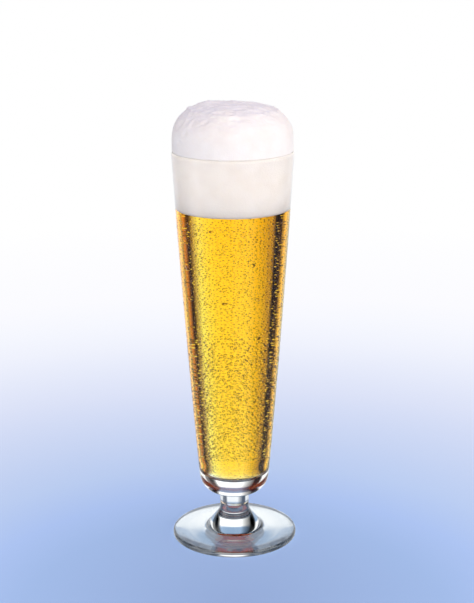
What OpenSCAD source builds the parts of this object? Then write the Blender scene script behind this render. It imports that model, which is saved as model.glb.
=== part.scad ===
// Footed pilsner glass of beer with a tall foam head.
// Origin: centre of the foot's resting ring, on the surface it stands on. +Z is up, millimetres.

/* [Bowl] */
// Height of the lip above the surface the foot stands on
glass_h = 244; // [200:1:280]
// Outer radius of the bowl at its lip
lip_r = 36.5; // [34:0.5:42]
// Outer radius of the bowl where its wall turns into the rounded base
shoulder_r = 21.8; // [20:0.2:24]
// Height of that turn
shoulder_z = 42; // [40:1:46]
// Height of the underside of the bowl, on the stem
bowl_z = 27.4; // [26:0.1:30]
// How far the long wall bows outward between shoulder and lip
wall_bow = 0.7; // [0:0.1:2]
// Squareness of the rounded base: 2 is a half ellipse, more is boxier
base_squareness = 2.7; // [2:0.1:4]

/* [Wall] */
// Wall thickness at the lip
lip_wall = 1.8; // [1.2:0.1:2.6]
// Wall thickness at the shoulder
shoulder_wall = 3.2; // [2:0.1:4.5]
// Height of the inner floor, above the thick base
floor_z = 39; // [36:0.2:46]
// Height of the rounded corner between the inner floor and the inner wall
corner_h = 9; // [6:0.5:16]
// Squareness of that corner
corner_squareness = 2.5; // [2:0.1:4]

/* [Stem] */
// Radius of the stem at its narrowest
stem_r = 9; // [7:0.1:11]
// Radius of the fillet between the stem and the bowl
stem_fillet = 1.5; // [0.5:0.1:2.5]
// Height at which the flare down to the foot begins
flare_z = 16.2; // [14:0.1:19]
// Outward run of the flare for each millimetre down
flare_slope = 0.79; // [0.5:0.01:1]
// Softness of the bend between stem and flare
flare_softness = 0.8; // [0.3:0.1:1.5]

/* [Foot] */
// Radius of the round foot
foot_r = 38.7; // [34:0.1:44]
// Thickness of the foot at its edge
foot_edge = 3.4; // [2.5:0.1:4.5]
// Radius of the rounding along the top of the edge
edge_round = 1.6; // [0.5:0.1:2]
// Radius of the rounding along the underside of the edge
under_round = 0.9; // [0.3:0.1:1]
// Height of the ring where the flare lands on the foot plate
kink_z = 5.0; // [4.6:0.1:6]
// Inner radius of the resting ring
ring_r = 30; // [24:0.5:34]
// Height of the shallow hollow inside the resting ring
hollow_h = 1.6; // [0.5:0.1:2.5]

/* [Drink] */
// Depth of the beer's level below the lip, which is how far the foam head reaches down
foam_depth = 33.7; // [15:0.1:90]
// Height of the foam crown above the lip
crown_h = 28.2; // [12:0.2:40]
// How far the side of the crown stands in from the outside of the lip
crown_inset = 0.6; // [0.1:0.1:1.2]
// Height above the lip at which the crown starts to round over
crown_waist = 5.4; // [2:0.2:9]
// Squareness of the crown's round top
crown_squareness = 2.7; // [2:0.1:4]
// Height of the crown's low waves
wave_h = 0.5; // [0:0.1:1.2]

/* [Hidden] */
// Points along each long wall, each rounded base and each small rounding
wall_steps = 24;
base_steps = 18;
round_steps = 6;
// Points along the foot's hollow, the flare and the stem
hollow_steps = 6;
flare_steps = 18;
// Sides of the glass and the beer, sides and rings of the foam
turned_sides = 180;
foam_sides = 72;
foam_wall_rings = 6;
crown_rings = 24;
// Half the lip's thickness: the lip is a full round, cut off by this angle where it meets the walls
lip_round = lip_wall / 2;
lip_cut = 15;
// The rounding of the foot's top edge stops this short of level, since the plate rises to the middle
plate_tilt = 4;
// Share of its own radius by which the fillet reaches out under the bowl, and the angle it ends at
fillet_share = 0.8;
fillet_end = 102;
// The foam clings to the inside of the lip from this angle, at this share of the lip's radius
cling_from = 157;
cling_share = 1.04;
// The crown's bulge over the lip begins at this angle, with this many steps
bulge_from = -60;
bulge_steps = 2;
beer_z = glass_h - foam_depth;
crown_r = lip_r - crown_inset;
// The fillet and the flare are cut off at these ends
stem_top = bowl_z - stem_fillet;
kink_r = stem_r + flare_slope * (flare_z - kink_z);
// Soft mounds of the crown: x, y, height and reach of each
mounds = [[-17, 6, 2.2, 8], [16, 6, 0.4, 14], [-22, -16, -1.2, 8], [8, -20, 0.6, 9], [6, 4, -1.0, 10]];
// Low waves of the crown, in degrees for each millimetre along x and y, then their shifts
wave_turn = [9, 7];
wave_shift = [40, -20];
// Waves that cross them at a slant: share of the height, degrees for each millimetre along x and y
cross_share = 0.6;
cross_turn = [6, 12];
glass_colour = [0.86, 0.90, 0.92, 0.45];
beer_colour = [0.96, 0.74, 0.10];
foam_colour = [0.98, 0.96, 0.92];

// Outer radius of the bowl's wall, a cone with a slight bow
function wall_r(z) =
    let (t = (z - shoulder_z) / (glass_h - shoulder_z))
    shoulder_r + (lip_r - shoulder_r) * t + 4 * wall_bow * t * (1 - t);

// Share of the wall's radius left at the relative depth d of a rounded end
function rounded(d, squareness) = pow(max(0, 1 - pow(d, squareness)), 1 / squareness);

// Relative depths that crowd toward the flat end, so that a rounded end gets even steps
function depth(i, steps) = sin(90 * i / steps);

// Wall thickness, even from the shoulder to the lip
function wall_t(z) =
    lip_wall + (shoulder_wall - lip_wall) * (glass_h - z) / (glass_h - shoulder_z);

function inner_r(z) = wall_r(z) - wall_t(z);

// Radius of the stem and its flare
function flare_r(z) =
    stem_r + flare_slope * flare_softness * ln(1 + exp((flare_z - z) / flare_softness));

// Points of an arc, both ends included
function arc(cx, cz, r, from, to, steps) =
    [for (i = [0:steps]) let (a = from + (to - from) * i / steps) [cx + r * cos(a), cz + r * sin(a)]];

// Underside: the shallow hollow, from the axis out to the resting ring
hollow = [for (i = [0:hollow_steps])
    let (r = ring_r * i / hollow_steps) [r, hollow_h * (1 - pow(r / ring_r, 2))]];

// The foot's edge, from the underside up to the plate
edge_under = arc(foot_r - under_round, under_round, under_round, -90, 0, round_steps);
edge_top = arc(foot_r - edge_round, foot_edge - edge_round, edge_round, 0, 90 - plate_tilt, round_steps);

// The flare and the stem, up to the fillet under the bowl
flare = [for (i = [0:flare_steps])
    let (z = kink_z + (stem_top - kink_z) * i / flare_steps) [flare_r(z), z]];

// The fillet meets the bowl's base a little outside the stem
join_r = stem_r + fillet_share * stem_fillet;
base_h = shoulder_z - bowl_z;
join_z = shoulder_z - base_h * rounded(join_r / wall_r(bowl_z), base_squareness);
fillet = arc(stem_r + stem_fillet, join_z - stem_fillet, stem_fillet, 180, fillet_end, round_steps);

// The rounded base, from the fillet up to the shoulder
join_angle = asin((shoulder_z - join_z) / base_h);
base = [for (i = [base_steps - 1:-1:1])
    let (d = sin(join_angle * i / base_steps), z = shoulder_z - d * base_h)
    [wall_r(z) * rounded(d, base_squareness), z]];

// The long wall outside, the round lip and the long wall inside
outer_wall = [for (i = [0:wall_steps])
    let (z = shoulder_z + (glass_h - lip_round - shoulder_z) * i / wall_steps) [wall_r(z), z]];
lip_z = glass_h - lip_round;
lip_mid_r = wall_r(lip_z) - lip_round;
lip = arc(lip_mid_r, lip_z, lip_round, lip_cut, 180 - lip_cut, 2 * round_steps);
corner_z = floor_z + corner_h;

function inner_wall(from_z, to_z) =
    [for (i = [0:wall_steps]) let (z = from_z + (to_z - from_z) * i / wall_steps) [inner_r(z), z]];

// The rounded corner down to the centre of the inner floor
corner = [for (i = [1:base_steps])
    let (d = depth(i, base_steps), z = corner_z - d * corner_h)
    [inner_r(z) * rounded(d, corner_squareness), z]];

glass_profile = concat(hollow, edge_under, edge_top, flare, fillet, base, outer_wall, lip,
    inner_wall(lip_z, corner_z), corner);

beer_profile = concat([[0, beer_z]], inner_wall(beer_z, corner_z), corner);

// Low waves and mounds of the crown's top at x, y
function crown_rise(x, y) =
    wave_h * sin(wave_turn[0] * x + wave_shift[0]) * cos(wave_turn[1] * y + wave_shift[1])
    + wave_h * cross_share * sin(cross_turn * [x, y])
    + crown_mounds(x, y, len(mounds) - 1);
function crown_mounds(x, y, i) =
    i < 0 ? 0 :
    let (m = mounds[i], d = norm([x - m[0], y - m[1]]) / m[3])
    m[2] * exp(-d * d) + crown_mounds(x, y, i - 1);

// Rings of the foam as [radius, height, share of the waves], from the beer up to the crown
foam_wall = [for (i = [0:foam_wall_rings])
    let (z = beer_z + (lip_z - beer_z) * i / foam_wall_rings) [inner_r(z), z, 0]];
foam_lip = [for (p = arc(lip_mid_r, lip_z, lip_round * cling_share, cling_from, 90, round_steps))
    [p[0], p[1], 0]];
crown_base = glass_h + crown_waist;
crown_top = crown_h - crown_waist;
foam_crown = [for (i = [0:crown_rings])
    let (d = depth(i, crown_rings + 1))
    [crown_r * rounded(d, crown_squareness), crown_base + crown_top * d, d * d]];
foam_bulge = arc(crown_r - lip_round, glass_h + lip_round, lip_round, bulge_from, 0, bulge_steps);
foam_rings = concat(foam_wall, foam_lip, [for (p = foam_bulge) [p[0], p[1], 0]], foam_crown);

function foam_point(ring, i) =
    let (a = 360 * i / foam_sides, x = ring[0] * cos(a), y = ring[0] * sin(a))
    [x, y, ring[1] + ring[2] * crown_rise(x, y)];

module glass() {
    color(glass_colour)
        rotate_extrude($fn = turned_sides)
            polygon(glass_profile);
}

module beer() {
    color(beer_colour)
        rotate_extrude($fn = turned_sides)
            polygon(beer_profile);
}

module foam() {
    rings = len(foam_rings);
    points = concat(
        [for (ring = foam_rings) for (i = [0:foam_sides - 1]) foam_point(ring, i)],
        [[0, 0, beer_z], [0, 0, glass_h + crown_h + crown_rise(0, 0)]]);
    bottom = rings * foam_sides;
    top = bottom + 1;
    function at(ring, i) = ring * foam_sides + i % foam_sides;
    sides = [for (r = [0:rings - 2]) for (i = [0:foam_sides - 1])
        each [[at(r, i), at(r + 1, i), at(r + 1, i + 1)], [at(r, i), at(r + 1, i + 1), at(r, i + 1)]]];
    under = [for (i = [0:foam_sides - 1]) [bottom, at(0, i), at(0, i + 1)]];
    over = [for (i = [0:foam_sides - 1]) [top, at(rings - 1, i + 1), at(rings - 1, i)]];
    color(foam_colour)
        polyhedron(points, concat(sides, under, over));
}

glass();
beer();
foam();
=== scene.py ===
import math

import bmesh
import bpy
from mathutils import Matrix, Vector, noise


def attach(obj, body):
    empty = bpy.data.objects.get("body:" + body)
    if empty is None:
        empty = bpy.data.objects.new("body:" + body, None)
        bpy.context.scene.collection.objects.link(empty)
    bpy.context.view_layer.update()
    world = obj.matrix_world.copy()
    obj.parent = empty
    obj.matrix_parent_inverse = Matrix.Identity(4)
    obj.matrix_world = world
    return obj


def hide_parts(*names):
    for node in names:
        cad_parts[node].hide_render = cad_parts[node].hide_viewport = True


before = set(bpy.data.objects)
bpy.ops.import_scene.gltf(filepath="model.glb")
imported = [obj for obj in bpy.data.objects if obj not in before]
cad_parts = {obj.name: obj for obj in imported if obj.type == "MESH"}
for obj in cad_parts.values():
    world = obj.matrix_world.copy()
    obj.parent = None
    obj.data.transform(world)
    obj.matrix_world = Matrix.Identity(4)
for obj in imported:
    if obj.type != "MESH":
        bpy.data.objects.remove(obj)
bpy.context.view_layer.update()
mm = 0.001


def linear(hexColour):  # an sRGB hex value as the linear colour that a shader takes
    channels = [int(hexColour[i:i + 2], 16) / 255 for i in (1, 3, 5)]
    return tuple(c / 12.92 if c <= 0.04045 else ((c + 0.055) / 1.055) ** 2.4 for c in channels) + (1.0,)


def addNode(tree, kind, settings={}, values={}, links={}):
    node = tree.nodes.new(kind)
    for key, value in settings.items():
        setattr(node, key, value)
    for socket, value in values.items():
        node.inputs[socket].default_value = value
    for socket, source in links.items():
        tree.links.new(source, node.inputs[socket])
    return node


def newMaterial(name):
    material = bpy.data.materials.new(name)
    material.use_nodes = True
    material.node_tree.nodes.clear()
    return material, material.node_tree


# Camera: at standing height in front of the glass, looking down on it a little
cameraSizes = {"distance": 829.8, "height": 383.4, "aside": 3.15, "pitch": 15.6, "roll": 0.24, "lens": 84.6}

camera = bpy.data.objects.new("camera", bpy.data.cameras.new("camera"))
camera.data.lens = cameraSizes["lens"]
camera.data.sensor_width = 36
camera.location = (cameraSizes["aside"] * mm, -cameraSizes["distance"] * mm, cameraSizes["height"] * mm)
camera.rotation_mode = "XYZ"
camera.rotation_euler = (math.radians(90 - cameraSizes["pitch"]), math.radians(cameraSizes["roll"]), 0)
bpy.context.scene.collection.objects.link(camera)
bpy.context.scene.camera = camera
print("camera placed")


# Glass: blown and turned in one piece, all sizes in millimetres
glassSizes = {
    "lipZ": 244.0, "lipR": 36.5, "shoulderZ": 42.0, "shoulderR": 21.8, "bowlZ": 27.4, "wallBow": 0.7,
    "baseSquareness": 2.7, "lipWall": 1.8, "shoulderWall": 3.2, "floorZ": 39.0, "cornerH": 9.0,
    "cornerSquareness": 2.5, "stemR": 9.0, "stemFillet": 1.5, "flareZ": 16.2, "flareSlope": 0.79,
    "flareSoftness": 0.8, "footR": 38.7, "footEdge": 3.4, "edgeRound": 1.6, "underRound": 0.9,
    "kinkZ": 5.0, "kinkReach": 1.6, "plateTilt": 4, "filletShare": 0.8, "filletEnd": 106, "lipCut": 12,
    "ringR": 30.0, "hollowH": 1.6, "beerZ": 210.3, "turnSteps": 192, "wallSteps": 48, "cornerSteps": 32,
    "baseSteps": 40,
}
g = glassSizes


def wallR(z):  # outer radius of the long wall, a cone with a slight bow
    t = (z - g["shoulderZ"]) / (g["lipZ"] - g["shoulderZ"])
    return g["shoulderR"] + (g["lipR"] - g["shoulderR"]) * t + 4 * g["wallBow"] * t * (1 - t)


def innerR(z):
    t = (g["lipZ"] - z) / (g["lipZ"] - g["shoulderZ"])
    return wallR(z) - g["lipWall"] - (g["shoulderWall"] - g["lipWall"]) * t


def rounded(depth, squareness):  # share of the radius left at a relative depth into a rounded end
    return max(0.0, 1 - depth ** squareness) ** (1 / squareness)


def arc(r, z, radius, start, end, steps):
    angles = [math.radians(start + (end - start) * i / steps) for i in range(steps + 1)]
    return [(r + radius * math.cos(a), z + radius * math.sin(a)) for a in angles]


def even(start, end, steps):
    return [start + (end - start) * i / steps for i in range(steps + 1)]


def softened(before, corner, after, reach, steps=6):  # a corner of the profile cut by a smooth curve
    corner = Vector(corner)
    a = corner + (Vector(before) - corner).normalized() * reach
    b = corner + (Vector(after) - corner).normalized() * reach
    return [tuple(a * (1 - t) ** 2 + corner * 2 * t * (1 - t) + b * t ** 2) for t in even(0, 1, steps)]


def innerCorner(steps):  # from the inner wall down to the centre of the inner floor
    top = g["floorZ"] + g["cornerH"]
    depths = [math.sin(math.radians(90) * i / steps) for i in range(1, steps + 1)]
    return [(innerR(top - d * g["cornerH"]) * rounded(d, g["cornerSquareness"]), top - d * g["cornerH"])
            for d in depths]


def glassProfile():
    hollow = [(r, g["hollowH"] * (1 - (r / g["ringR"]) ** 2)) for r in even(0, g["ringR"], 16)]
    under = arc(g["footR"] - g["underRound"], g["underRound"], g["underRound"], -90, 0, 8)
    over = arc(g["footR"] - g["edgeRound"], g["footEdge"] - g["edgeRound"], g["edgeRound"],
               0, 90 - g["plateTilt"], 10)
    stemTop = g["bowlZ"] - g["stemFillet"]
    flare = [(g["stemR"] + g["flareSlope"] * g["flareSoftness"]
              * math.log(1 + math.exp((g["flareZ"] - z) / g["flareSoftness"])), z)
             for z in even(g["kinkZ"], stemTop, 40)]
    kink = softened(over[-1], flare[0], flare[3], g["kinkReach"])
    joinR = g["stemR"] + g["filletShare"] * g["stemFillet"]
    baseH = g["shoulderZ"] - g["bowlZ"]
    joinZ = g["shoulderZ"] - baseH * rounded(joinR / wallR(g["bowlZ"]), g["baseSquareness"])
    fillet = arc(g["stemR"] + g["stemFillet"], joinZ - g["stemFillet"], g["stemFillet"],
                 180, g["filletEnd"], 10)
    joinAngle = math.asin((g["shoulderZ"] - joinZ) / baseH)
    base = []
    for i in range(g["baseSteps"] - 1, 0, -1):
        depth = math.sin(joinAngle * i / g["baseSteps"])
        z = g["shoulderZ"] - depth * baseH
        base.append((wallR(z) * rounded(depth, g["baseSquareness"]), z))
    halfLip = g["lipWall"] / 2
    lipZ = g["lipZ"] - halfLip
    outer = [(wallR(z), z) for z in even(g["shoulderZ"], lipZ, g["wallSteps"])]
    lip = arc(wallR(lipZ) - halfLip, lipZ, halfLip, g["lipCut"], 180 - g["lipCut"], 12)
    inner = [(innerR(z), z) for z in even(lipZ, g["floorZ"] + g["cornerH"], g["wallSteps"])]
    return (hollow + under + over + kink + flare[3:] + fillet + base + outer + lip + inner
            + innerCorner(g["cornerSteps"]))


def offset(profile, distance):  # the profile moved to its left by a distance, its ends kept on the axis
    moved = []
    for i, (r, z) in enumerate(profile):
        before = Vector(profile[max(i - 1, 0)])
        after = Vector(profile[min(i + 1, len(profile) - 1)])
        along = (after - before).normalized()
        moved.append((max(0.0, r - along.y * distance) if r > 0 else 0.0, z + along.x * distance))
    return moved


def addPiece(name, mesh):
    piece = bpy.data.objects.new(name, mesh)
    bpy.context.scene.collection.objects.link(piece)
    return piece


def turned(name, profile, steps):  # a profile of (radius, height) in mm turned round the axis
    mesh = bpy.data.meshes.new(name)
    mesh.from_pydata([(r * mm, 0, z * mm) for r, z in profile],
                     [(i, i + 1) for i in range(len(profile) - 1)], [])
    piece = addPiece(name, mesh)
    screw = piece.modifiers.new("turn", "SCREW")
    screw.steps = steps
    screw.render_steps = steps
    screw.use_smooth_shade = True
    return plain(piece)


def plain(piece):  # the evaluated piece as a plain mesh, closed and facing outwards
    bpy.context.view_layer.update()
    mesh = bpy.data.meshes.new_from_object(piece.evaluated_get(bpy.context.evaluated_depsgraph_get()))
    piece.modifiers.clear()
    piece.data = mesh
    shell = bmesh.new()
    shell.from_mesh(mesh)
    bmesh.ops.remove_doubles(shell, verts=shell.verts, dist=0.0005 * mm)
    bmesh.ops.recalc_face_normals(shell, faces=shell.faces)
    for face in shell.faces:
        face.smooth = True
    shell.to_mesh(mesh)
    shell.free()
    mesh.name = piece.name
    return piece


# Soda-lime glass, blown and fire-polished: clear and colourless, with sharp reflections
glassClear, tree = newMaterial("sodaLimeGlass")
polished = addNode(tree, "ShaderNodeBsdfPrincipled", values={
    "Base Color": linear("#fcfefd"), "Roughness": 0.0, "IOR": 1.5, "Transmission Weight": 1.0})
addNode(tree, "ShaderNodeOutputMaterial", links={"Surface": polished.outputs[0]})

# The same glass where beer wets it: light bends there only by the ratio of glass to beer
wetGlass, tree = newMaterial("wetSodaLimeGlass")
wet = addNode(tree, "ShaderNodeBsdfPrincipled", values={
    "Base Color": linear("#ffffff"), "Roughness": 0.0, "IOR": 1.12, "Transmission Weight": 1.0})
addNode(tree, "ShaderNodeOutputMaterial", links={"Surface": wet.outputs[0]})

glass = turned("glassBody", glassProfile(), glassSizes["turnSteps"])
glass.data.materials.append(glassClear)
glass.data.materials.append(wetGlass)
for face in glass.data.polygons:
    z = face.center.z / mm
    r = math.hypot(face.center.x, face.center.y) / mm
    if g["floorZ"] - 0.1 < z < g["beerZ"] and r < wallR(z) - g["lipWall"] / 2:
        face.material_index = 1
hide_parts("glass")
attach(glass, "root")
print("glass turned")


# Beer: fills the bowl up to the foam and reaches just into the wall
beerSizes = {"intoWall": 0.12, "turnSteps": 192, "colour": "#fff126", "perMetre": 80.0}

# Lager: clear liquid that keeps red, takes some green and swallows blue, so depth turns it golden.
# Its IOR stays at 1 because the wet glass round it already bends the light by the ratio of glass to beer.
lager, tree = newMaterial("lager")
clear = addNode(tree, "ShaderNodeBsdfPrincipled", values={
    "Base Color": linear("#ffffff"), "Roughness": 0.0, "IOR": 1.0, "Transmission Weight": 1.0})
depths = addNode(tree, "ShaderNodeVolumeAbsorption", values={
    "Color": linear(beerSizes["colour"]), "Density": beerSizes["perMetre"]})
addNode(tree, "ShaderNodeOutputMaterial", links={"Surface": clear.outputs[0], "Volume": depths.outputs[0]})

level = g["beerZ"]
beerSide = [(innerR(z), z) for z in even(level, g["floorZ"] + g["cornerH"], g["wallSteps"])]
beerSide += innerCorner(g["cornerSteps"])
beer = turned("beerBody", [(0, level)] + offset(beerSide, beerSizes["intoWall"]), beerSizes["turnSteps"])
beer.data.materials.append(lager)
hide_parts("beer")
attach(beer, "root")
print("beer poured")


# Foam: a dense creamy head, smooth where it pressed out of the glass and rumpled on top
foamSizes = {
    "intoWall": 0.2, "intoBeer": 0.3, "crownH": 28.2, "crownR": 35.9, "crownWaist": 5.4,
    "crownSquareness": 2.7, "waveH": 0.5, "turnSteps": 256,
    "waveTurn": (9, 7), "waveShift": (40, -20), "crossShare": 0.6, "crossTurn": 6,
    # x, y, height and reach of each mound
    "mounds": [(-17, 6, 2.2, 8), (16, 6, 0.4, 14), (-22, -16, -1.2, 8), (8, -20, 0.6, 9), (6, 4, -1.0, 10)],
    "foldR": 26.0, "foldH": 1.3, "foldReach": 1.6, "foldWander": 11.0, "foldDrift": 3.0, "foldLeast": 0.6,
    "creaseH": 0.8, "creaseWide": 5.0, "creaseStretch": 0.55, "rumpleGain": 1.6, "smoothOverLip": 1.5,
    # angle from the front, height, depth and reach of each dent
    "dents": [(-52, 258, 0.7, 2.4), (-60, 252, 0.5, 1.8), (-44, 263, 0.6, 2.2), (-68, 261, 0.6, 2.6),
              (-30, 265, 0.5, 2.0), (150, 256, 0.6, 2.4), (100, 262, 0.5, 2.2)],
    "shades": [(0.3, "#faf4ee"), (0.7, "#fffbf6")], "patch": 9.0, "ripple": 2.5, "bubble": 0.7,
    "rippleShare": 0.6, "pitDepth": 0.3, "pitStrength": 0.6, "softDepth": 1.5,
}
f = foamSizes


def crownRise(x, y):  # low waves and soft mounds of the crown's top
    along = math.sin(math.radians(f["waveTurn"][0] * x + f["waveShift"][0]))
    across = math.cos(math.radians(f["waveTurn"][1] * y + f["waveShift"][1]))
    slant = math.sin(math.radians(f["crossTurn"] * (x + 2 * y)))
    waves = f["waveH"] * (along * across + f["crossShare"] * slant)
    return waves + sum(h * math.exp(-((x - mx) ** 2 + (y - my) ** 2) / reach ** 2)
                       for mx, my, h, reach in f["mounds"])


def foamProfile():
    halfLip = g["lipWall"] / 2
    lipZ = g["lipZ"] - halfLip
    lipMid = wallR(lipZ) - halfLip
    start = level - f["intoBeer"]
    bottom = [(r, start) for r in even(0, innerR(start), 20)]
    wall = [(innerR(z) + f["intoWall"], z) for z in even(start, lipZ, 24)]
    overLip = arc(lipMid, lipZ, halfLip * 0.9, 165, 95, 8)
    bulge = arc(f["crownR"] - halfLip, g["lipZ"] + halfLip, halfLip, -70, 0, 6)
    crownZ = g["lipZ"] + f["crownWaist"]
    top = f["crownH"] - f["crownWaist"]
    waist = [(f["crownR"], z) for z in even(g["lipZ"] + halfLip, crownZ, 6)[1:-1]]
    crown = []
    for i in range(91):
        depth = math.sin(math.radians(i))
        crown.append((f["crownR"] * rounded(depth, f["crownSquareness"]), crownZ + top * depth))
    return bottom + wall + overLip + bulge + waist + crown


foam = turned("foamHead", foamProfile(), f["turnSteps"])
crownZ = (g["lipZ"] + f["crownWaist"]) * mm
crownTop = (g["lipZ"] + f["crownH"]) * mm


def rumple(point, share):  # how far the skin of the crown stands out or falls in, in mm
    x, y, z = point / mm
    r = math.hypot(x, y)
    wander = noise.noise(Vector((x, y, 0)) / f["foldWander"])
    ring = r - f["foldR"] - f["foldDrift"] * wander
    fold = f["foldH"] * math.exp(-(ring / f["foldReach"]) ** 2) * (f["foldLeast"] + wander)
    grain = Vector((f["creaseStretch"] * x, y, z)) / f["creaseWide"]
    # Ridged noise: fractal step, doubling of detail, three octaves, offset and gain
    crease = noise.ridged_multi_fractal(grain, 1.0, 2.0, 3, 1.0, 2.0)
    out = share * (fold + f["creaseH"] * (crease - 1.0))
    for angle, height, depth, reach in f["dents"]:
        dx = r * math.radians((math.degrees(math.atan2(x, -y)) - angle + 180) % 360 - 180)
        out -= depth * math.exp(-(dx ** 2 + (z - height) ** 2) / reach ** 2)
    return out


foam.data.update()
outward = [v.normal.copy() for v in foam.data.vertices]
for vertex, normal in zip(foam.data.vertices, outward):
    rise = max(0.0, (vertex.co.z - crownZ) / (crownTop - crownZ)) ** 2
    if vertex.co.z > (g["lipZ"] + f["smoothOverLip"]) * mm:
        skin = rumple(vertex.co, min(1.0, f["rumpleGain"] * rise))
        if rise:
            vertex.co.z += rise * crownRise(vertex.co.x / mm, vertex.co.y / mm) * mm
        vertex.co += normal * skin * mm

# Beer foam: bubbles too fine to see one by one, so it is matt, creamy white and a little soft to light
foamCream, tree = newMaterial("beerFoam")
spot = addNode(tree, "ShaderNodeTexCoord")
patches = addNode(tree, "ShaderNodeTexNoise", {}, {"Scale": 1 / (f["patch"] * mm), "Detail": 4.0},
                  {"Vector": spot.outputs["Object"]})
shades = addNode(tree, "ShaderNodeValToRGB", links={"Fac": patches.outputs["Fac"]})
for element, (place, colour) in zip(shades.color_ramp.elements, f["shades"]):
    element.position = place
    element.color = linear(colour)
bubbles = addNode(tree, "ShaderNodeTexVoronoi", {}, {"Scale": 1 / (f["bubble"] * mm)},
                  {"Vector": spot.outputs["Object"]})
ripples = addNode(tree, "ShaderNodeTexNoise", {}, {"Scale": 1 / (f["ripple"] * mm), "Detail": 3.0},
                  {"Vector": spot.outputs["Object"]})
froth = addNode(tree, "ShaderNodeMath", {"operation": "MULTIPLY_ADD"}, {1: f["rippleShare"]},
                {0: bubbles.outputs["Distance"], 2: ripples.outputs["Fac"]})
pitted = addNode(tree, "ShaderNodeBump", {}, {"Strength": f["pitStrength"], "Distance": f["pitDepth"] * mm},
                 {"Height": froth.outputs[0]})
cream = addNode(tree, "ShaderNodeBsdfPrincipled", {}, {
    "Roughness": 0.75, "IOR": 1.34, "Subsurface Weight": 0.15, "Subsurface Radius": (1.0, 0.85, 0.65),
    "Subsurface Scale": f["softDepth"] * mm}, {
    "Base Color": shades.outputs["Color"], "Normal": pitted.outputs[0]})
addNode(tree, "ShaderNodeOutputMaterial", links={"Surface": cream.outputs[0]})
foam.data.materials.append(foamCream)
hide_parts("foam")
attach(foam, "root")
print("foam shaped")


# Condensation: flat beads of water all over the cold wall, finest just under the foam
dewSizes = {
    "sunk": 0.35, "flat": 0.14, "spread": (0.55, 1.25), "stretch": (0.8, 1.5), "turn": 0.6,
    "perSquareMetre": 1.6e6, "wallRows": 40, "wallSides": 180,
    # name, lowest and highest height, least spacing, bead radius and seed of each piece
    "bands": [("dewLow", 45.0, 125.0, 1.05, 0.54, 3), ("dewHigh", 125.0, 205.5, 1.0, 0.38, 11),
              ("dewDrops", 60.0, 200.0, 24.0, 1.05, 7)],
}


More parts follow.
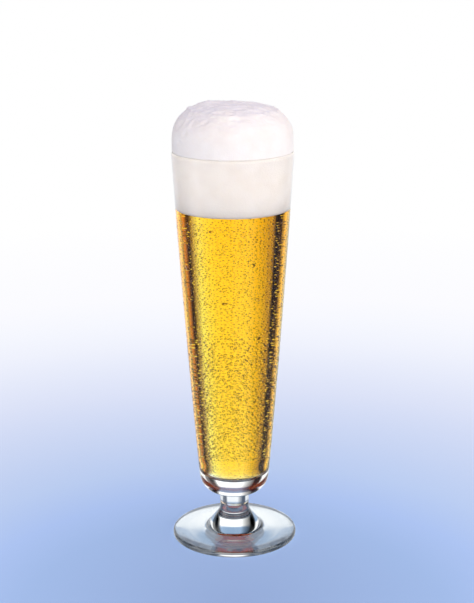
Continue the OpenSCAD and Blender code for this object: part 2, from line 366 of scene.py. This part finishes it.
def dewTree(material):
    tree = bpy.data.node_groups.new("dewOnWall", "GeometryNodeTree")
    tree.is_modifier = True
    for name, kind in (("Geometry", "NodeSocketGeometry"), ("Spacing", "NodeSocketFloat"),
                       ("Bead radius", "NodeSocketFloat"), ("Flatness", "NodeSocketFloat"),
                       ("Sunk", "NodeSocketFloat"), ("Seed", "NodeSocketInt")):
        tree.interface.new_socket(name, in_out="INPUT", socket_type=kind)
    tree.interface.new_socket("Geometry", in_out="OUTPUT", socket_type="NodeSocketGeometry")
    given = addNode(tree, "NodeGroupInput").outputs
    points = addNode(tree, "GeometryNodeDistributePointsOnFaces", {"distribute_method": "POISSON"},
                     {"Density Max": dewSizes["perSquareMetre"]},
                     {"Mesh": given["Geometry"], "Distance Min": given["Spacing"], "Seed": given["Seed"]})
    ball = addNode(tree, "GeometryNodeMeshIcoSphere", {}, {"Radius": 1.0, "Subdivisions": 1})
    # The ball becomes a dome: what lies under its middle is pressed flat
    place = addNode(tree, "GeometryNodeInputPosition").outputs[0]
    spot = addNode(tree, "ShaderNodeSeparateXYZ", links={0: place})
    above = addNode(tree, "ShaderNodeMath", {"operation": "MAXIMUM"}, {1: 0.0}, {0: spot.outputs["Z"]})
    cut = addNode(tree, "ShaderNodeCombineXYZ", {}, {},
                  {"X": spot.outputs["X"], "Y": spot.outputs["Y"], "Z": above.outputs[0]})
    dome = addNode(tree, "GeometryNodeSetPosition", {}, {},
                   {"Geometry": ball.outputs["Mesh"], "Position": cut.outputs[0]})
    # Faces that look straight down keep flat shading, so that the underside stays flat
    normal = addNode(tree, "GeometryNodeInputNormal").outputs[0]
    tilt = addNode(tree, "ShaderNodeSeparateXYZ", links={0: normal})
    skin = addNode(tree, "ShaderNodeMath", {"operation": "GREATER_THAN"}, {1: -0.9}, {0: tilt.outputs["Z"]})
    bead = addNode(tree, "GeometryNodeSetShadeSmooth", {}, {}, {0: dome.outputs[0], 1: skin.outputs[0]})
    spread = addNode(tree, "FunctionNodeRandomValue", {"data_type": "FLOAT"},
                     {2: dewSizes["spread"][0], 3: dewSizes["spread"][1]},
                     {"Seed": given["Seed"]})
    stretch = addNode(tree, "FunctionNodeRandomValue", {"data_type": "FLOAT"},
                      {2: dewSizes["stretch"][0], 3: dewSizes["stretch"][1]},
                      {"Seed": given["Bead radius"]})
    turn = addNode(tree, "FunctionNodeRandomValue", {"data_type": "FLOAT"},
                   {2: -dewSizes["turn"], 3: dewSizes["turn"]},
                   {"Seed": given["Seed"]})
    radius = addNode(tree, "ShaderNodeMath", {"operation": "MULTIPLY"}, {},
                     {0: given["Bead radius"], 1: spread.outputs["Value"]})
    tall = addNode(tree, "ShaderNodeMath", {"operation": "MULTIPLY"}, {},
                   {0: radius.outputs[0], 1: stretch.outputs["Value"]})
    thick = addNode(tree, "ShaderNodeMath", {"operation": "MULTIPLY"}, {},
                    {0: radius.outputs[0], 1: given["Flatness"]})
    scale = addNode(tree, "ShaderNodeCombineXYZ", {}, {},
                    {"X": radius.outputs[0], "Y": tall.outputs[0], "Z": thick.outputs[0]})
    spin = addNode(tree, "ShaderNodeCombineXYZ", {}, {}, {"Z": turn.outputs["Value"]})
    placed = addNode(tree, "GeometryNodeInstanceOnPoints", {}, {},
                     {"Points": points.outputs["Points"], "Instance": bead.outputs[0],
                      "Rotation": points.outputs["Rotation"], "Scale": scale.outputs[0]})
    turnedBeads = addNode(tree, "GeometryNodeRotateInstances", {}, {},
                          {"Instances": placed.outputs[0], "Rotation": spin.outputs[0]})
    down = addNode(tree, "ShaderNodeMath", {"operation": "MULTIPLY"}, {1: -1.0}, {0: given["Sunk"]})
    shift = addNode(tree, "ShaderNodeCombineXYZ", {}, {}, {"Z": down.outputs[0]})
    sunken = addNode(tree, "GeometryNodeTranslateInstances", {}, {},
                     {"Instances": turnedBeads.outputs[0], "Translation": shift.outputs[0]})
    real = addNode(tree, "GeometryNodeRealizeInstances", {}, {}, {"Geometry": sunken.outputs[0]})
    dressed = addNode(tree, "GeometryNodeSetMaterial", {}, {"Material": material}, {0: real.outputs[0]})
    addNode(tree, "NodeGroupOutput", {}, {}, {"Geometry": dressed.outputs[0]})
    return tree


def useTree(piece, tree, values):  # a modifier with its inputs set by the sockets' identifiers
    modifier = piece.modifiers.new(tree.name, "NODES")
    modifier.node_group = tree
    for item in tree.interface.items_tree:
        if item.item_type == "SOCKET" and item.in_out == "INPUT" and item.name in values:
            modifier[item.identifier] = values[item.name]


# Condensed water: clear beads that pick up the light behind them like small lenses
water, tree = newMaterial("condensedWater")
droplet = addNode(tree, "ShaderNodeBsdfPrincipled", values={
    "Base Color": linear("#ffffff"), "Roughness": 0.0, "IOR": 1.33, "Transmission Weight": 1.0})
addNode(tree, "ShaderNodeOutputMaterial", links={"Surface": droplet.outputs[0]})

beads = dewTree(water)
for name, low, high, spacing, radius, seed in dewSizes["bands"]:
    band = turned(name, [(wallR(z), z) for z in even(low, high, dewSizes["wallRows"])],
                  dewSizes["wallSides"])
    useTree(band, beads, {"Spacing": spacing * mm, "Bead radius": radius * mm, "Flatness": dewSizes["flat"],
                          "Sunk": dewSizes["sunk"] * radius * mm * dewSizes["flat"], "Seed": seed})
    bpy.context.view_layer.update()
    band.data = bpy.data.meshes.new_from_object(band.evaluated_get(bpy.context.evaluated_depsgraph_get()))
    band.modifiers.clear()
    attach(band, "root")
    print(name, "has", len(band.data.polygons), "faces")


# Stage: a pale table that runs out to white, before a soft box with dark flags to its sides. Azimuths are
# degrees clockwise from +Y, the far side of the glass. Heights of the sky are sines of elevation.
# The table and the sky are plain to the camera. Rays that the glass bends or mirrors see the studio round it,
# told apart by how many surfaces they have passed: clear glass by a few, beer in glass by more.
stageSizes = {
    "floorR": 6.0, "floorGap": 0.05, "floorCentre": (0.0, -0.10, 0.0), "floorSides": 96,
    "tableShare": 0.6, "fadeFrom": 0.2, "fadeTo": 0.6, "mirrorRoughness": 0.06,
    "glassFaces": 0, "footFaces": 2, "foamFaces": 4, "beerFaces": 5,
    "wetTable": "#90a5c4", "wetShare": 0.3, "clearGain": (1.35, 1.35, 1.35, 1.0),
    "clearContrast": 2.0,
    # Painted shade on the table: darker pale blue near the glass, fading to white further off
    "floor": [(0.0, "#a2bce4"), (0.12, "#b0cdf5"), (0.16, "#bbd6ff"), (0.21, "#cbe1ff"), (0.27, "#d7e7ff"),
              (0.37, "#e6eeff"), (0.5, "#f2f5ff"), (0.66, "#fbfbff"), (1.0, "#ffffff")],
    "sky": [(0.0, "#ffffff"), (0.41, "#ffffff"), (0.43, "#869fbd"), (0.58, "#7f96b3"), (0.7, "#15181c")],
    "underFoot": [(0.0, "#7f99b8"), (0.39, "#86a0bf"), (0.43, "#ffffff"), (0.6, "#ffffff"),
                  (0.75, "#303840")],
    "behindBeer": [(0.0, "#fff6ee"), (0.22, "#ffffff"), (0.34, "#fff5e4"), (0.62, "#fff5e4"),
                   (0.8, "#7c7870")],
    # A soft box behind the glass, cool to its left and warm to its right, with a dark flag at each end of
    # it, a warm strip light beyond each flag, and a plain soft box to each side further round
    "panels": [(-168, "#202020"), (-130, "#202020"), (-124, "#bcbcbc"), (-60, "#bcbcbc"), (-45, "#d0b488"),
               (-37, "#201410"), (-28, "#080808"), (-25, "#806c54"), (-15, "#a89c78"), (-7, "#bcbcbc"),
               (7, "#bcbcbc"), (20, "#b0c4f4"), (26, "#787090"), (29, "#080808"), (33, "#0c0808"),
               (38, "#a06c58"), (44, "#807c58"), (52, "#f8d0b0"), (75, "#f8d0b0"), (80, "#202020"),
               (100, "#202020"), (106, "#bcbcbc"), (162, "#bcbcbc"), (168, "#202020")],
    "panelStrength": 2.2, "beerGain": (1.15, 1.15, 1.15, 1.0), "roomShare": (0.3, 0.2),
    # What the outside of the glass mirrors
    "mirrored": [(-145, "#696969"), (-132, "#898989"), (-120, "#b3b3b3"), (-112, "#dadada"),
                 (-104, "#efefef"), (-91, "#cbcbcb"), (-83, "#616161"), (-76, "#000000"), (-60, "#000000"),
                 (-50, "#595959"), (-40, "#aaaaaa"), (-20, "#bcbcbc"), (20, "#bcbcbc"), (40, "#959595"),
                 (50, "#595959"), (60, "#000000"), (76, "#000000"), (83, "#4b4b4b"), (91, "#7c7c7c"),
                 (104, "#595959"), (112, "#3f3f3f"), (128, "#272727"), (140, "#a0a0a0"), (150, "#a0a0a0"),
                 (165, "#959595")],
    "softLight": "#aca8ab", "softInGlass": "#fbf3ea", "overhead": "#c8c8ea", "overheadFrom": (0.35, 0.95),
    "keyLight": "#fff6ef", "keyStrength": 1.98, "underFoam": 0.25,
    "keyFrom": (0.5, -0.8, 0.12), "keyEdges": (-0.2, 1.0),
}

floorMesh = bpy.data.meshes.new("floor")
disc = bmesh.new()
bmesh.ops.create_circle(disc, cap_ends=True, segments=stageSizes["floorSides"],
                         radius=stageSizes["floorR"])
bmesh.ops.translate(disc, verts=disc.verts, vec=(0, 0, -stageSizes["floorGap"] * mm))
disc.to_mesh(floorMesh)
disc.free()
floor = addPiece("floor", floorMesh)


def fillRamp(ramp, stops):
    while len(ramp.elements) < len(stops):
        ramp.elements.new(0.5)
    for element, (place, colour) in zip(ramp.elements, stops):
        element.position = place
        element.color = linear(colour)


# Table top: painted shade, pale blue by the glass and white further off, on a matt top with a painted glow
# that takes over further off.
# What the glass bends or mirrors sees it wet, as a slightly rough mirror, with a painted pale blue glow in
# what shows through the clear foot.
tableTop, tree = newMaterial("tableTop")
spot = addNode(tree, "ShaderNodeTexCoord")
away = addNode(tree, "ShaderNodeVectorMath", {"operation": "DISTANCE"}, {1: stageSizes["floorCentre"]},
               {0: spot.outputs["Object"]})
floorShadeRamp = addNode(tree, "ShaderNodeValToRGB", links={"Fac": away.outputs["Value"]})
fillRamp(floorShadeRamp.color_ramp, stageSizes["floor"])
matt = addNode(tree, "ShaderNodeBsdfDiffuse", links={"Color": floorShadeRamp.outputs["Color"]})
# Painted glow: the table gives off its own graded colour, wholly so further off
glow = addNode(tree, "ShaderNodeEmission", links={"Color": floorShadeRamp.outputs["Color"]})
fade = addNode(tree, "ShaderNodeMapRange", {"interpolation_type": "SMOOTHSTEP"},
               {"From Min": stageSizes["fadeFrom"], "From Max": stageSizes["fadeTo"],
                "To Min": 1 - stageSizes["tableShare"], "To Max": 1.0},
               {"Value": away.outputs["Value"]})
table = addNode(tree, "ShaderNodeMixShader", {}, {},
                {0: fade.outputs[0], 1: matt.outputs[0], 2: glow.outputs[0]})
mirror = addNode(tree, "ShaderNodeBsdfPrincipled", {}, {
    "Base Color": linear("#ffffff"), "Metallic": 1.0, "Roughness": stageSizes["mirrorRoughness"]})
path = addNode(tree, "ShaderNodeLightPath")
seen = addNode(tree, "ShaderNodeMath", {"operation": "ADD", "use_clamp": True}, {},
               {0: path.outputs["Is Camera Ray"], 1: path.outputs["Diffuse Depth"]})
wetTable = addNode(tree, "ShaderNodeEmission", {}, {"Color": linear(stageSizes["wetTable"])})
underFoot = addNode(tree, "ShaderNodeMapRange", {},
                    {"From Min": stageSizes["foamFaces"], "From Max": stageSizes["beerFaces"],
                     "To Min": stageSizes["wetShare"], "To Max": 0.0},
                    {"Value": path.outputs["Transmission Depth"]})
wetTop = addNode(tree, "ShaderNodeMixShader", {}, {},
                 {0: underFoot.outputs[0], 1: mirror.outputs[0], 2: wetTable.outputs[0]})
top = addNode(tree, "ShaderNodeMixShader", {}, {},
              {0: seen.outputs[0], 1: wetTop.outputs[0], 2: table.outputs[0]})
addNode(tree, "ShaderNodeOutputMaterial", links={"Surface": top.outputs[0]})
floorMesh.materials.append(tableTop)

world = bpy.data.worlds.new("studio")
bpy.context.scene.world = world
world.use_nodes = True
tree = world.node_tree
tree.nodes.clear()
direction = addNode(tree, "ShaderNodeTexCoord")
split = addNode(tree, "ShaderNodeSeparateXYZ", links={0: direction.outputs["Generated"]})
skyRamp = addNode(tree, "ShaderNodeValToRGB", links={"Fac": split.outputs["Z"]})
fillRamp(skyRamp.color_ramp, stageSizes["sky"])
around = addNode(tree, "ShaderNodeMath", {"operation": "ARCTAN2"}, {},
                 {0: split.outputs["X"], 1: split.outputs["Y"]})
azimuthShare = addNode(tree, "ShaderNodeMath", {"operation": "MULTIPLY_ADD"}, {1: 1 / (2 * math.pi), 2: 0.5},
                       {0: around.outputs[0]})
panels = addNode(tree, "ShaderNodeValToRGB", links={"Fac": azimuthShare.outputs[0]})
fillRamp(panels.color_ramp, [((azimuth + 180) / 360, colour) for azimuth, colour in stageSizes["panels"]])
path = addNode(tree, "ShaderNodeLightPath")


def deeper(count, than):  # 1 where the light path has had more than so many of one kind of bounce
    return addNode(tree, "ShaderNodeMath", {"operation": "GREATER_THAN"}, {1: than + 0.5},
                   {0: path.outputs[count]}).outputs[0]


def mixed(share, first, second, blend="MIX"):
    node = addNode(tree, "ShaderNodeMix", {"data_type": "RGBA", "blend_type": blend}, {0: 1.0})
    for socket, source in ((0, share), (6, first), (7, second)):
        if isinstance(source, tuple):
            node.inputs[socket].default_value = source
        elif source is not None:
            tree.links.new(source, node.inputs[socket])
    return node.outputs[2]


white = linear("#ffffff")
footRamp = addNode(tree, "ShaderNodeValToRGB", links={"Fac": split.outputs["Z"]})
fillRamp(footRamp.color_ramp, stageSizes["underFoot"])
throughFoot = mixed(deeper("Transmission Depth", stageSizes["footFaces"]), skyRamp.outputs["Color"],
                    footRamp.outputs["Color"])
throughFoot = mixed(None, throughFoot, stageSizes["clearGain"], "MULTIPLY")
beerRamp = addNode(tree, "ShaderNodeValToRGB", links={"Fac": split.outputs["Z"]})
fillRamp(beerRamp.color_ramp, stageSizes["behindBeer"])
beerBack = mixed(None, beerRamp.outputs["Color"], stageSizes["beerGain"], "MULTIPLY")
throughBeer = mixed(deeper("Transmission Depth", stageSizes["beerFaces"]), throughFoot, beerBack)
# Clear glass shows the gaps between the panels darker than the beer does, and without colour
grey = addNode(tree, "ShaderNodeRGBToBW", {}, {}, {0: panels.outputs["Color"]})
full = addNode(tree, "ShaderNodeMath", {"operation": "MULTIPLY", "use_clamp": True},
               {1: stageSizes["panelStrength"]}, {0: grey.outputs[0]})
contrast = addNode(tree, "ShaderNodeMath", {"operation": "POWER"}, {1: stageSizes["clearContrast"]},
                   {0: full.outputs[0]})
clearPanels = addNode(tree, "ShaderNodeMath", {"operation": "MULTIPLY"},
                      {1: 1 / stageSizes["panelStrength"]}, {0: contrast.outputs[0]})
gaps = mixed(deeper("Transmission Depth", stageSizes["beerFaces"]), clearPanels.outputs[0],
             panels.outputs["Color"])
mirrored = addNode(tree, "ShaderNodeValToRGB", links={"Fac": azimuthShare.outputs[0]})
fillRamp(mirrored.color_ramp, [((azimuth + 180) / 360, colour) for azimuth, colour in stageSizes["mirrored"]])
panelled = mixed(None, throughBeer, gaps, "MULTIPLY")
# Light that has been mirrored twice comes from the unlit room
unlitClear, unlitBeer = [(part,) * 3 + (1.0,) for part in stageSizes["roomShare"]]
roomShare = mixed(deeper("Transmission Depth", stageSizes["beerFaces"]), unlitClear, unlitBeer)
room = mixed(deeper("Glossy Depth", 1), white, roomShare)
roomLit = mixed(None, panelled, room, "MULTIPLY")
clearLit = mixed(deeper("Transmission Depth", stageSizes["glassFaces"]), mirrored.outputs["Color"], roomLit)
# Matt surfaces are lit from all round, most from the right of the camera
facing = addNode(tree, "ShaderNodeVectorMath", {"operation": "DOT_PRODUCT"},
                 {1: Vector(stageSizes["keyFrom"]).normalized()}, {0: direction.outputs["Generated"]})
key = addNode(tree, "ShaderNodeMapRange", {"interpolation_type": "SMOOTHSTEP"},
              {"From Min": stageSizes["keyEdges"][0], "From Max": stageSizes["keyEdges"][1]},
              {"Value": facing.outputs["Value"]})
keyColour = tuple(stageSizes["keyStrength"] * c for c in linear(stageSizes["keyLight"]))
softLight = mixed(deeper("Transmission Depth", stageSizes["glassFaces"]), linear(stageSizes["softLight"]),
                  linear(stageSizes["softInGlass"]))
sideLight = mixed(key.outputs[0], softLight, keyColour)
overhead = addNode(tree, "ShaderNodeMapRange", {"interpolation_type": "SMOOTHSTEP"},
                   {"From Min": stageSizes["overheadFrom"][0], "From Max": stageSizes["overheadFrom"][1]},
                   {"Value": split.outputs["Z"]})
openLight = mixed(overhead.outputs[0], sideLight, linear(stageSizes["overhead"]))
# The underside of the foam, seen up through all the beer, gets little light
shaded = addNode(tree, "ShaderNodeMapRange", {}, {"To Min": 1.0, "To Max": stageSizes["underFoam"]},
                 {"Value": deeper("Transmission Depth", stageSizes["foamFaces"])})
soft = mixed(None, openLight, shaded.outputs[0], "MULTIPLY")
lit = mixed(deeper("Diffuse Depth", 0), clearLit, soft)
shown = mixed(path.outputs["Is Camera Ray"], lit, white)
plainLit = addNode(tree, "ShaderNodeMath", {"operation": "ADD", "use_clamp": True}, {},
                   {0: path.outputs["Is Camera Ray"], 1: path.outputs["Diffuse Depth"]})
strength = addNode(tree, "ShaderNodeMapRange", {}, {"To Min": stageSizes["panelStrength"], "To Max": 1.0},
                   {"Value": plainLit.outputs[0]})
sky = addNode(tree, "ShaderNodeBackground", {}, {}, {"Color": shown, "Strength": strength.outputs[0]})
addNode(tree, "ShaderNodeOutputWorld", links={"Surface": sky.outputs[0]})
world.cycles.sampling_method = "NONE"

scene = bpy.context.scene
scene.view_settings.view_transform = "Standard"
scene.cycles.max_bounces = 32
scene.cycles.transmission_bounces = 32
scene.cycles.glossy_bounces = 16
scene.cycles.diffuse_bounces = 8
scene.cycles.blur_glossy = 0.0
print("stage set")
